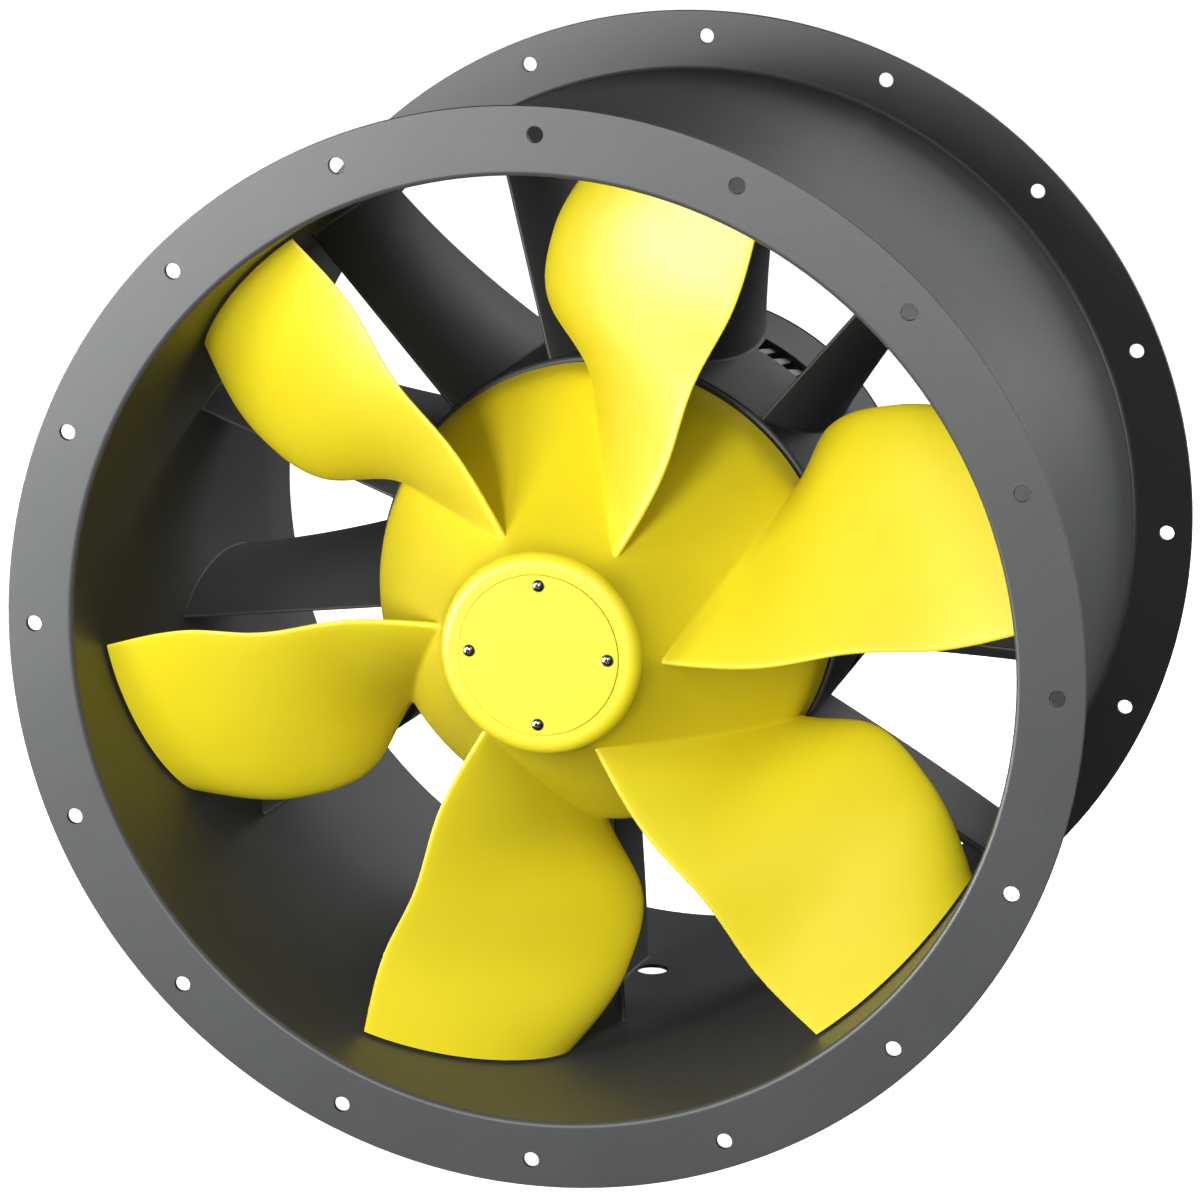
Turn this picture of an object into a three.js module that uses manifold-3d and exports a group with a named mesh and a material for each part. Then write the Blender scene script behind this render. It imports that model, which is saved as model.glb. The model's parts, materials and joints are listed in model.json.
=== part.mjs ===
// Axial duct fan: a flanged casing, a ring of guide vanes round a motor core, and a six-blade
// impeller on an external-rotor motor. Millimetres; +Y is the duct axis and points downstream,
// +Z is up, and the origin is the middle of the casing on its axis.
import * as THREE from 'three';
import { mergeVertices } from 'three/addons/utils/BufferGeometryUtils.js';
import Module from 'manifold-3d';

const wasm = await Module();
wasm.setup();

const TURN = 2 * Math.PI;
const GAP = 0.3;
const CASING_SEGMENTS = 48;
const CORE_SEGMENTS = 36;
const HUB_SEGMENTS = 36;
const MOTOR_SEGMENTS = 24;
const HOLE_SEGMENTS = 8;

// Duct connection: flange for a 710 mm duct.
const CASING_LENGTH = 530;
const BORE_R = 357;
const WALL = 3;
const FLANGE_R = 408;
const FLANGE_THICK = 4;
const BOLT_CIRCLE_R = 387.5;
const BOLT_HOLE_R = 6;
const BOLT_COUNT = 16;
const LIP_R = 4;
const CORNER_R = 4;
const CABLE_HOLE_R = 12.5;
const CABLE_HOLE_Y = 109;

// Guide vanes and the core they carry.
const VANE_COUNT = 13;
const VANE_THICK = 3;
const VANE_FIRST_DEG = 12.2;
const VANE_OUTER_R = 355.9;
const CORE_R = 184;
const CORE_FRONT_Y = -45;
const CORE_REAR_Y = 140.7;
const PLATE_FRONT_Y = -24;
const PLATE_REAR_Y = -18;

// Impeller.
const BLADE_COUNT = 6;
const BLADE_TIP_R = 354.5;
const BLADE_ROOT_R = 84;
const NOSE_Y = -250;
const NOSE_R = 77;
const NOSE_EDGE_R = 10;
const HUB_REAR_Y = -52;
const HUB_REAR_R = 180.6;
const HUB_WALL = 5;
const WEB_FRONT_Y = -200;
const WEB_REAR_Y = -194;
const CAP_R = 60.6;
const CAP_THICK = 4.7;
const CAP_SCREW_CIRCLE_R = 52.6;

// Motor.
const ROTOR_R = 80;
const ROTOR_WALL = 3.9;
const ROTOR_REAR_Y = -98;
const STATOR_R = 67.6;
const STATOR_FRONT_Y = -168;
const STATOR_REAR_Y = -110;
const SLOT_COUNT = 12;
const BUSHING_R = 28;
const SHAFT_R = 8.2;
const BEARING_R = 20;
const BEARING_WIDTH = 12;
const BALL_COUNT = 9;
const MOTOR_BOLT_CIRCLE_R = 55;
const TIE_BOLT_CIRCLE_R = 120;
const M8_R = 4;
const M8_HOLE_R = 4.4;
const M8_HEAD_R = 7.5;
const M8_HEAD_HEIGHT = 5.3;
const CUT_PAST = 5;

// Cooling body and electronics behind the core.
const FIN_COUNT = 30;
const FIN_ROOT_R = 158;
const FIN_FRONT_Y = 100;
const FIN_REAR_Y = 140.6;
const HOUSING_REAR_Y = 218;
const COVER_FACE_Y = 232;
const COVER_THICK = 3;
const HOUSING_WALL = 8;
const GLAND_R = 12;

// Colours.
const PAINT_GREY = 0x4b4e50;
const PAINT_YELLOW = 0xf0e428;
const STEEL = 0x8c9094;
const DARK_STEEL = 0x5c6064;
const ALUMINIUM = 0xb4b8bb;
const COPPER = 0xb06a3a;
const MAGNET_GREY = 0x3a3c3f;
const RUBBER_BLACK = 0x1c1c1c;
const BOARD_GREEN = 0x1f6b3c;

// ---- Helpers -------------------------------------------------------------------------------

function polar(radius, angle, y) {
  return new THREE.Vector3(radius * Math.sin(angle), y, radius * Math.cos(angle));
}

function ringAngles(count, first = 0) {
  return Array.from({ length: count }, (_, i) => first + (i * TURN) / count);
}

function signedVolume(position, index) {
  const corners = [new THREE.Vector3(), new THREE.Vector3(), new THREE.Vector3()];
  let volume = 0;
  for (let i = 0; i < index.length; i += 3) {
    corners.forEach((corner, k) => corner.fromBufferAttribute(position, index[i + k]));
    volume += corners[0].dot(corners[1].cross(corners[2])) / 6;
  }
  return volume;
}

// Shared vertices only, no collapsed triangles, faces pointing out.
function closed(geometry) {
  const bare = new THREE.BufferGeometry();
  bare.setAttribute('position', geometry.getAttribute('position'));
  bare.setIndex(geometry.getIndex());
  const merged = mergeVertices(bare, 1e-3);
  const source = merged.getIndex().array;
  let index = [];
  for (let i = 0; i < source.length; i += 3) {
    const [a, b, c] = [source[i], source[i + 1], source[i + 2]];
    if (a !== b && b !== c && c !== a) index.push(a, b, c);
  }
  if (signedVolume(merged.getAttribute('position'), index) < 0) index = index.reverse();
  merged.setIndex(index);
  return merged;
}

function toSolid(geometry) {
  const clean = closed(geometry);
  return new wasm.Manifold(new wasm.Mesh({
    numProp: 3,
    vertProperties: new Float32Array(clean.getAttribute('position').array),
    triVerts: new Uint32Array(clean.getIndex().array),
  }));
}

function toGeometry(solid) {
  const mesh = solid.getMesh();
  const geometry = new THREE.BufferGeometry();
  geometry.setAttribute('position', new THREE.BufferAttribute(mesh.vertProperties, 3));
  geometry.setIndex(new THREE.BufferAttribute(mesh.triVerts, 1));
  return geometry;
}

function cut(geometry, tools) {
  return toGeometry(tools.reduce((solid, tool) => solid.subtract(toSolid(tool)), toSolid(geometry)));
}

function join(geometries) {
  return toGeometry(geometries.map(toSolid).reduce((solid, next) => solid.add(next)));
}

// A profile of [radius, y] points turned about the duct axis.
function revolve(profile, segments) {
  const points = profile.map(([radius, y]) => new THREE.Vector2(radius, y));
  if (profile[0][0] > 0) points.push(points[0].clone());
  return closed(new THREE.LatheGeometry(points, segments));
}

function ring(innerR, outerR, frontY, rearY, segments) {
  return revolve([[innerR, frontY], [outerR, frontY], [outerR, rearY], [innerR, rearY]], segments);
}

function disc(radius, frontY, rearY, segments) {
  return revolve([[0, frontY], [radius, frontY], [radius, rearY], [0, rearY]], segments);
}

// A round or polygonal bar along the duct axis, at a radius and angle about it.
function bar(barR, frontY, rearY, segments, circleR = 0, angle = 0) {
  const geometry = new THREE.CylinderGeometry(barR, barR, rearY - frontY, segments);
  const place = polar(circleR, angle, (frontY + rearY) / 2);
  return geometry.translate(place.x, place.y, place.z);
}

// Cutters for a ring of round holes through a wall from frontY to rearY.
function holes(holeR, frontY, rearY, circleR, angles) {
  return angles.map((angle) => (
    bar(holeR, frontY - CUT_PAST, rearY + CUT_PAST, HOLE_SEGMENTS, circleR, angle)
  ));
}

// [radius, y] points on an arc of a profile; angles in quarter turns from +radius towards +y.
function arc(centreR, centreY, radius, fromQuarter, toQuarter, steps) {
  return Array.from({ length: steps + 1 }, (_, i) => {
    const angle = ((fromQuarter + ((toQuarter - fromQuarter) * i) / steps) * TURN) / 4;
    return [centreR + radius * Math.cos(angle), centreY + radius * Math.sin(angle)];
  });
}

// A flat outline in the plane across the duct, carried from frontY to rearY.
function extrudeAlongDuct(shape, frontY, rearY) {
  const geometry = new THREE.ExtrudeGeometry(shape, { depth: rearY - frontY, bevelEnabled: false });
  return geometry.rotateX(-TURN / 4).translate(0, frontY, 0);
}

// [radius, angle] points, given clockwise, as a counterclockwise outline.
function shapeFromPolar(points) {
  return new THREE.Shape(points.map(([radius, angle]) => (
    new THREE.Vector2(radius * Math.sin(angle), radius * Math.cos(angle))
  )).reverse());
}

// A straight line between neighbouring [x, value] pairs.
function interpolate(pairs, x) {
  const last = pairs.length - 2;
  const passed = pairs.filter(([at]) => at < x).length - 1;
  const i = THREE.MathUtils.clamp(passed, 0, last);
  const [[x0, v0], [x1, v1]] = [pairs[i], pairs[i + 1]];
  return v0 + ((v1 - v0) * (x - x0)) / (x1 - x0);
}

// A curved plate: a box whose length, height and thickness follow place(along, up, side),
// with along and up from 0 to 1 and side -1 or 1.
function curvedPlate(alongSteps, upSteps, place) {
  const box = new THREE.BoxGeometry(1, 1, 1, alongSteps, upSteps, 1);
  const position = box.getAttribute('position');
  for (let i = 0; i < position.count; i += 1) {
    const point = place(position.getX(i) + 0.5, position.getY(i) + 0.5, Math.sign(position.getZ(i)));
    position.setXYZ(i, point.x, point.y, point.z);
  }
  return box;
}

function material(color, roughness, metalness) {
  return new THREE.MeshStandardMaterial({ color, roughness, metalness });
}

const fan = new THREE.Group();

function add(name, geometry, look) {
  const mesh = new THREE.Mesh(closed(geometry), look);
  mesh.name = name;
  fan.add(mesh);
}

const greyPaint = () => material(PAINT_GREY, 0.5, 0.1);
const yellowPaint = () => material(PAINT_YELLOW, 0.4, 0);
const steel = () => material(STEEL, 0.35, 1);
const darkSteel = () => material(DARK_STEEL, 0.4, 0.9);
const aluminium = () => material(ALUMINIUM, 0.45, 0.9);

// ---- Casing --------------------------------------------------------------------------------

const FRONT_Y = -CASING_LENGTH / 2;
const REAR_Y = CASING_LENGTH / 2;

function casing() {
  const tubeR = BORE_R + WALL;
  const frontHalf = [
    ...arc(BORE_R + LIP_R, FRONT_Y + LIP_R, LIP_R, 2, 3, 1),
    [FLANGE_R, FRONT_Y],
    [FLANGE_R, FRONT_Y + FLANGE_THICK],
    ...arc(tubeR + CORNER_R, FRONT_Y + FLANGE_THICK + CORNER_R, CORNER_R, 3, 2, 2),
  ];
  const rearHalf = frontHalf.map(([radius, y]) => [radius, -y]).reverse();
  const shell = revolve([...frontHalf, ...rearHalf], CASING_SEGMENTS);
  const angles = ringAngles(BOLT_COUNT);
  const frontHoles = holes(BOLT_HOLE_R, FRONT_Y, FRONT_Y + FLANGE_THICK, BOLT_CIRCLE_R, angles);
  const rearHoles = holes(BOLT_HOLE_R, REAR_Y - FLANGE_THICK, REAR_Y, BOLT_CIRCLE_R, angles);
  const cableHole = new THREE.CylinderGeometry(CABLE_HOLE_R, CABLE_HOLE_R, 40, 2 * HOLE_SEGMENTS);
  cableHole.rotateX(TURN / 4).translate(0, CABLE_HOLE_Y, -BORE_R);
  return cut(shell, [...frontHoles, ...rearHoles, cableHole]);
}

add('casing', casing(), greyPaint());

// ---- Guide vanes ---------------------------------------------------------------------------

// Each vane takes the air's twist out: its front edge leans into the swirl, its rear is axial.
// Towards the core the vane reaches further back and round, on over the housing behind the core.
const VANE_EDGE_Y = { coreFront: -41, coreRear: 164, casingFront: -22.5, casingRear: 139 };
const VANE_TWIST = { core: 36.5, casing: 22 };
const VANE_CURL = 3;
const VANE_BELLY = 7;

function vanePoint(firstAngle, along, up, side) {
  const coreR = CORE_R + GAP;
  const radius = THREE.MathUtils.lerp(coreR, VANE_OUTER_R, up);
  const frontY = THREE.MathUtils.lerp(VANE_EDGE_Y.coreFront, VANE_EDGE_Y.casingFront, up);
  const nearCore = (1 - up) ** 2;
  const rearY = THREE.MathUtils.lerp(VANE_EDGE_Y.casingRear, VANE_EDGE_Y.coreRear, nearCore);
  const sideways = THREE.MathUtils.lerp(VANE_TWIST.casing, VANE_TWIST.core, nearCore);
  const y = THREE.MathUtils.lerp(frontY, rearY, along);
  const offset = sideways * (1 - (1 - along) ** VANE_CURL) + VANE_BELLY * 4 * along * (1 - along);
  const turning = sideways * VANE_CURL * (1 - along) ** (VANE_CURL - 1) + VANE_BELLY * 4 * (1 - 2 * along);
  const slope = turning / (rearY - frontY);
  const half = (side * VANE_THICK) / 2 / Math.hypot(1, slope);
  return polar(radius, firstAngle + (offset + half) / radius, y - half * slope);
}

const VANE_ANGLES = ringAngles(VANE_COUNT, THREE.MathUtils.degToRad(VANE_FIRST_DEG));

VANE_ANGLES.forEach((angle, i) => {
  const plate = curvedPlate(8, 4, (along, up, side) => vanePoint(angle, along, up, side));
  add(`guide_vane_${String(i + 1).padStart(2, '0')}`, plate, greyPaint());
});

// ---- Core ----------------------------------------------------------------------------------

const CORE_WALL = 3;
const CORE_LIP = 15;
const CABLE_BORE_R = 28;
const WINDOW_FRONT_Y = 102;
const WINDOW_FROM_DEG = 13.6;
const WINDOW_TO_DEG = 37.9;
const TIE_ANGLES = ringAngles(4, TURN / 8);
const MOTOR_BOLT_ANGLES = ringAngles(4);

// A window opens between the rear of each vane and the next, so that the fins inside get air.
// Its sides are measured from the vane's front edge.
function coreWindow(vaneAngle) {
  const from = vaneAngle + THREE.MathUtils.degToRad(WINDOW_FROM_DEG);
  const to = vaneAngle + THREE.MathUtils.degToRad(WINDOW_TO_DEG);
  const innerR = CORE_R - CORE_WALL - CUT_PAST;
  const outerR = CORE_R / Math.cos((to - from) / 2) + CUT_PAST;
  const outline = shapeFromPolar([[innerR, from], [outerR, from], [outerR, to], [innerR, to]]);
  return extrudeAlongDuct(outline, WINDOW_FRONT_Y, CORE_REAR_Y + CUT_PAST);
}

function coreTube() {
  const innerR = CORE_R - CORE_WALL;
  const tube = revolve([
    [CORE_R, CORE_REAR_Y],
    [CORE_R, CORE_FRONT_Y + CORE_WALL],
    [innerR, CORE_FRONT_Y],
    [innerR - CORE_LIP, CORE_FRONT_Y],
    [innerR - CORE_LIP, CORE_FRONT_Y + CORE_WALL],
    [innerR, CORE_FRONT_Y + CORE_WALL],
    [innerR, CORE_REAR_Y],
  ], CORE_SEGMENTS);
  return cut(tube, VANE_ANGLES.map(coreWindow));
}

function motorPlate() {
  const plate = ring(CABLE_BORE_R, CORE_R - CORE_WALL - 0.4, PLATE_FRONT_Y, PLATE_REAR_Y, CORE_SEGMENTS);
  return cut(plate, [
    ...holes(M8_HOLE_R, PLATE_FRONT_Y, PLATE_REAR_Y, MOTOR_BOLT_CIRCLE_R, MOTOR_BOLT_ANGLES),
    ...holes(M8_HOLE_R, PLATE_FRONT_Y, PLATE_REAR_Y, TIE_BOLT_CIRCLE_R, TIE_ANGLES),
  ]);
}

function coolingBody() {
  const tipR = CORE_R - CORE_WALL - 1.2;
  const floorThick = 8;
  const pitch = TURN / FIN_COUNT;
  const outline = ringAngles(FIN_COUNT).flatMap((angle) => [
    [FIN_ROOT_R, angle],
    [tipR, angle + 0.15 * pitch],
    [tipR, angle + 0.45 * pitch],
    [FIN_ROOT_R, angle + 0.45 * pitch],
  ]);
  const body = shapeFromPolar(outline);
  const inside = ringAngles(CORE_SEGMENTS).map((angle) => [FIN_ROOT_R - HOUSING_WALL, angle]);
  body.holes.push(shapeFromPolar(inside));
  const fins = extrudeAlongDuct(body, FIN_FRONT_Y, FIN_REAR_Y);
  const floorY = FIN_REAR_Y - floorThick;
  const floor = ring(CABLE_BORE_R, FIN_ROOT_R - 6, floorY, FIN_REAR_Y, CORE_SEGMENTS);
  return cut(join([fins, floor]), holes(M8_HOLE_R, floorY, FIN_REAR_Y, TIE_BOLT_CIRCLE_R, TIE_ANGLES));
}

const HOUSING_FLOOR_Y = FIN_REAR_Y + 0.4;
const HOUSING_FLOOR_REAR_Y = HOUSING_FLOOR_Y + 5;
const BOARD_Y = 172;
const BOARD_R = 95;
const BOARD_THICK = 2;

function electronicsHousing() {
  const pot = revolve([
    [CABLE_BORE_R, HOUSING_FLOOR_Y],
    [CORE_R, HOUSING_FLOOR_Y],
    [CORE_R, HOUSING_REAR_Y],
    [CORE_R - HOUSING_WALL, HOUSING_REAR_Y],
    [CORE_R - HOUSING_WALL, HOUSING_FLOOR_REAR_Y],
    [CABLE_BORE_R, HOUSING_FLOOR_REAR_Y],
  ], CORE_SEGMENTS);
  const posts = ringAngles(4).map((angle) => (
    bar(M8_R, HOUSING_FLOOR_REAR_Y - 1, BOARD_Y - GAP, 6, BOARD_R - 10, angle)
  ));
  const tieHoles = holes(M8_HOLE_R, HOUSING_FLOOR_Y, HOUSING_FLOOR_REAR_Y, TIE_BOLT_CIRCLE_R, TIE_ANGLES);
  return cut(join([pot, ...posts]), tieHoles);
}

function rearCover() {
  const rimY = HOUSING_REAR_Y + 2.3;
  const insideY = COVER_FACE_Y - COVER_THICK;
  const dish = revolve([
    [0, COVER_FACE_Y],
    [150, COVER_FACE_Y],
    [178, COVER_FACE_Y - 5],
    [CORE_R, rimY + 2],
    [CORE_R, rimY],
    [176, rimY],
    [174, insideY - 5],
    [149, insideY],
    [0, insideY],
  ], CORE_SEGMENTS);
  const tieHoles = holes(M8_HOLE_R, insideY, COVER_FACE_Y, TIE_BOLT_CIRCLE_R, TIE_ANGLES);
  const glandPast = COVER_FACE_Y + CUT_PAST;
  const glandHole = bar(GLAND_R + 0.4, COVER_FACE_Y - 10, glandPast, 16, TIE_BOLT_CIRCLE_R, TURN / 2);
  return cut(dish, [...tieHoles, glandHole]);
}

function cableGland() {
  const base = COVER_FACE_Y + GAP;
  const body = join([
    bar(GLAND_R, COVER_FACE_Y - 12, base + 1, 16),
    bar(GLAND_R + 4, base, base + 7, 6),
    bar(GLAND_R, base + 6, base + 10, 16),
    bar(GLAND_R + 2, base + 9, base + 20, 12),
  ]);
  const place = polar(TIE_BOLT_CIRCLE_R, TURN / 2, 0);
  return cut(body, [bar(7, COVER_FACE_Y - 20, base + 30, 10)]).translate(place.x, 0, place.z);
}

function tieBolt(angle) {
  const headY = COVER_FACE_Y + GAP;
  return join([
    bar(M8_R, PLATE_FRONT_Y - 3, headY + 1, HOLE_SEGMENTS, TIE_BOLT_CIRCLE_R, angle),
    bar(M8_HEAD_R, headY, headY + M8_HEAD_HEIGHT, 6, TIE_BOLT_CIRCLE_R, angle),
  ]);
}

function powerModule() {
  const block = new THREE.BoxGeometry(64, 14, 44);
  return block.translate(0, HOUSING_FLOOR_REAR_Y + GAP + 7, 50);
}

function circuitBoard() {
  return ring(12, BOARD_R, BOARD_Y, BOARD_Y + BOARD_THICK, MOTOR_SEGMENTS);
}

function coverGasket() {
  return ring(CORE_R - 7, CORE_R - 2, HOUSING_REAR_Y + GAP, HOUSING_REAR_Y + 2, CORE_SEGMENTS);
}

add('core_tube', coreTube(), greyPaint());
add('motor_plate', motorPlate(), darkSteel());
add('cooling_body', coolingBody(), aluminium());
add('electronics_housing', electronicsHousing(), greyPaint());
add('power_module', powerModule(), material(RUBBER_BLACK, 0.5, 0));
add('circuit_board', circuitBoard(), material(BOARD_GREEN, 0.5, 0));
add('cover_gasket', coverGasket(), material(RUBBER_BLACK, 0.8, 0));
add('rear_cover', rearCover(), greyPaint());
add('cable_gland', cableGland(), material(RUBBER_BLACK, 0.5, 0));
TIE_ANGLES.forEach((angle, i) => add(`tie_bolt_${i + 1}`, tieBolt(angle), steel()));

// ---- Motor: standing parts -----------------------------------------------------------------

const SEAT_R = BEARING_R + GAP;
const BUSHING_FRONT_Y = -176;
const FRONT_BEARING_Y = -174;
const REAR_BEARING_Y = -88;
const BUSHING_FLANGE_R = 72;
const BUSHING_FLANGE_Y = -40;

function statorBushing() {
  const rearY = PLATE_FRONT_Y - GAP;
  const body = revolve([
    [SEAT_R, BUSHING_FRONT_Y],
    [BUSHING_R, BUSHING_FRONT_Y],
    [BUSHING_R, BUSHING_FLANGE_Y],
    [BUSHING_FLANGE_R, BUSHING_FLANGE_Y],
    [BUSHING_FLANGE_R, rearY],
    [SEAT_R, rearY],
    [SEAT_R, REAR_BEARING_Y - 5],
    [17, REAR_BEARING_Y - 5],
    [17, FRONT_BEARING_Y + BEARING_WIDTH + GAP],
    [SEAT_R, FRONT_BEARING_Y + BEARING_WIDTH + GAP],
  ], MOTOR_SEGMENTS);
  return cut(body, holes(M8_HOLE_R, BUSHING_FLANGE_Y, rearY, MOTOR_BOLT_CIRCLE_R, MOTOR_BOLT_ANGLES));
}

function motorBolt(angle) {
  const headY = PLATE_REAR_Y + GAP;
  return join([
    bar(M8_R, BUSHING_FLANGE_Y - 2, headY + 1, HOLE_SEGMENTS, MOTOR_BOLT_CIRCLE_R, angle),
    bar(M8_HEAD_R, headY, headY + M8_HEAD_HEIGHT, 6, MOTOR_BOLT_CIRCLE_R, angle),
  ]);
}

const TOOTH_HALF_WIDTH = 6;
const YOKE_R = 37;
const SHOE_R = 61;

function statorCore() {
  const pitch = TURN / SLOT_COUNT;
  const shoeHalf = 0.42 * pitch;
  const outline = ringAngles(SLOT_COUNT).flatMap((angle) => [
    [YOKE_R, angle - Math.asin(TOOTH_HALF_WIDTH / YOKE_R)],
    [SHOE_R, angle - Math.asin(TOOTH_HALF_WIDTH / SHOE_R)],
    [STATOR_R - 2, angle - shoeHalf],
    [STATOR_R, angle - shoeHalf],
    [STATOR_R, angle],
    [STATOR_R, angle + shoeHalf],
    [STATOR_R - 2, angle + shoeHalf],
    [SHOE_R, angle + Math.asin(TOOTH_HALF_WIDTH / SHOE_R)],
    [YOKE_R, angle + Math.asin(TOOTH_HALF_WIDTH / YOKE_R)],
  ]);
  const stack = shapeFromPolar(outline);
  stack.holes.push(shapeFromPolar(ringAngles(MOTOR_SEGMENTS).map((angle) => [BUSHING_R + 0.6, angle])));
  return extrudeAlongDuct(stack, STATOR_FRONT_Y, STATOR_REAR_Y);
}

// Copper lies between the teeth and turns over in a ring at each end of the stack.
function statorWindings() {
  const pitch = TURN / SLOT_COUNT;
  const clear = TOOTH_HALF_WIDTH + 0.6;
  const innerR = YOKE_R + 1.5;
  const outerR = SHOE_R - 1;
  const reach = 5;
  const bars = ringAngles(SLOT_COUNT).map((angle) => extrudeAlongDuct(shapeFromPolar([
    [innerR, angle + Math.asin(clear / innerR)],
    [outerR, angle + Math.asin(clear / outerR)],
    [outerR, angle + pitch - Math.asin(clear / outerR)],
    [innerR, angle + pitch - Math.asin(clear / innerR)],
  ]), STATOR_FRONT_Y - reach, STATOR_REAR_Y + reach));
  const frontRing = ring(innerR, outerR, STATOR_FRONT_Y - 10, STATOR_FRONT_Y - 1, SLOT_COUNT);
  const rearRing = ring(innerR, outerR, STATOR_REAR_Y + 1, STATOR_REAR_Y + 10, SLOT_COUNT);
  return join([frontRing, rearRing, ...bars]);
}

add('stator_bushing', statorBushing(), aluminium());
MOTOR_BOLT_ANGLES.forEach((angle, i) => add(`motor_bolt_${i + 1}`, motorBolt(angle), steel()));
add('stator_core', statorCore(), darkSteel());
add('stator_windings', statorWindings(), material(COPPER, 0.4, 0.8));

// ---- Bearings ------------------------------------------------------------------------------

const OUTER_RACE_R = 17.2;
const INNER_RACE_R = 11.4;
const BALL_R = 2.7;
const BALL_CIRCLE_R = (OUTER_RACE_R + INNER_RACE_R) / 2;

function ballCage(frontY) {
  const middleY = frontY + BEARING_WIDTH / 2;
  const balls = ringAngles(BALL_COUNT).map((angle) => {
    const place = polar(BALL_CIRCLE_R, angle, middleY);
    return new THREE.IcosahedronGeometry(BALL_R).translate(place.x, place.y, place.z);
  });
  const band = ring(BALL_CIRCLE_R - 1, BALL_CIRCLE_R + 1, middleY - 2, middleY + 2, 2 * BALL_COUNT);
  return join([band, ...balls]);
}

function addBearing(name, frontY) {
  const rearY = frontY + BEARING_WIDTH;
  add(`${name}_outer_race`, ring(OUTER_RACE_R, BEARING_R, frontY, rearY, MOTOR_SEGMENTS), steel());
  add(`${name}_inner_race`, ring(SHAFT_R + GAP, INNER_RACE_R, frontY, rearY, MOTOR_SEGMENTS), steel());
  add(`${name}_ball_cage`, ballCage(frontY), steel());
}

function waveSpring() {
  const flat = ring(17.4, BEARING_R - 0.4, -0.4, 0.4, MOTOR_SEGMENTS);
  const position = flat.getAttribute('position');
  for (let i = 0; i < position.count; i += 1) {
    const angle = Math.atan2(position.getX(i), position.getZ(i));
    position.setY(i, position.getY(i) + 1.3 * Math.cos(4 * angle));
  }
  return flat.translate(0, REAR_BEARING_Y - 2.5, 0);
}

addBearing('front_bearing', FRONT_BEARING_Y);
addBearing('rear_bearing', REAR_BEARING_Y);
add('wave_spring', waveSpring(), steel());

// ---- Motor: turning parts ------------------------------------------------------------------

const SHAFT_FRONT_Y = -198;
const SHAFT_REAR_Y = -70;
const CIRCLIP_Y = -75.5;
const GROOVE_R = 7.6;
const ROTOR_FACE_Y = WEB_REAR_Y + GAP;
const ROTOR_SCREW_CIRCLE_R = 38;
const ROTOR_SCREW_R = 3;
const MAGNET_INNER_R = 68.8;
const ROTOR_SCREW_ANGLES = ringAngles(3);

function shaft() {
  const chamfer = 1;
  return revolve([
    [0, SHAFT_FRONT_Y],
    [SHAFT_R - chamfer, SHAFT_FRONT_Y],
    [SHAFT_R, SHAFT_FRONT_Y + chamfer],
    [SHAFT_R, CIRCLIP_Y - GAP],
    [GROOVE_R, CIRCLIP_Y - GAP],
    [GROOVE_R, CIRCLIP_Y + 1.5],
    [SHAFT_R, CIRCLIP_Y + 1.5],
    [SHAFT_R, SHAFT_REAR_Y - chamfer],
    [SHAFT_R - chamfer, SHAFT_REAR_Y],
    [0, SHAFT_REAR_Y],
  ], MOTOR_SEGMENTS);
}

function circlip() {
  const steps = 12;
  const opening = TURN / 12;
  const sweep = Array.from({ length: steps + 1 }, (_, i) => opening + ((TURN - 2 * opening) * i) / steps);
  const outer = sweep.map((angle) => [11, angle]);
  const inner = sweep.map((angle) => [GROOVE_R + 0.35, angle]).reverse();
  return extrudeAlongDuct(shapeFromPolar([...outer, ...inner]), CIRCLIP_Y, CIRCLIP_Y + 1.2);
}

function rotorBell() {
  const innerR = ROTOR_R - ROTOR_WALL;
  const discRearY = ROTOR_FACE_Y + 6;
  const body = revolve([
    [SHAFT_R + GAP, ROTOR_FACE_Y],
    [ROTOR_R - 2, ROTOR_FACE_Y],
    [ROTOR_R, ROTOR_FACE_Y + 2],
    [ROTOR_R, ROTOR_REAR_Y],
    [innerR, ROTOR_REAR_Y],
    [innerR, discRearY],
    [18, discRearY],
    [14, discRearY + 7],
    [SHAFT_R + GAP, discRearY + 7],
  ], MOTOR_SEGMENTS);
  const screwHoleR = ROTOR_SCREW_R + 0.4;
  return cut(body, holes(screwHoleR, ROTOR_FACE_Y, discRearY, ROTOR_SCREW_CIRCLE_R, ROTOR_SCREW_ANGLES));
}

function rotorScrew(angle) {
  const seatY = WEB_FRONT_Y - GAP;
  return join([
    bar(ROTOR_SCREW_R, seatY - 1, ROTOR_FACE_Y + 5, HOLE_SEGMENTS, ROTOR_SCREW_CIRCLE_R, angle),
    bar(ROTOR_SCREW_R + 2.5, seatY - 4, seatY, HOLE_SEGMENTS, ROTOR_SCREW_CIRCLE_R, angle),
  ]);
}

function magnetRing() {
  const outerR = ROTOR_R - ROTOR_WALL - GAP;
  return ring(MAGNET_INNER_R, outerR, STATOR_FRONT_Y - 3, STATOR_REAR_Y + 3, MOTOR_SEGMENTS);
}

add('shaft', shaft(), steel());
add('shaft_circlip', circlip(), steel());
add('rotor_bell', rotorBell(), darkSteel());
add('magnet_ring', magnetRing(), material(MAGNET_GREY, 0.6, 0.3));
ROTOR_SCREW_ANGLES.forEach((angle, i) => add(`rotor_screw_${i + 1}`, rotorScrew(angle), steel()));

// ---- Impeller ------------------------------------------------------------------------------

const HUB_FLARE = [[88, -213], [112, -177], [138, -137], [171, -83]];
const CAP_LEDGE_R = 45;
const CAP_SCREW_HOLE_R = 2.6;
const SCREW_ANGLES = ringAngles(4);

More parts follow.
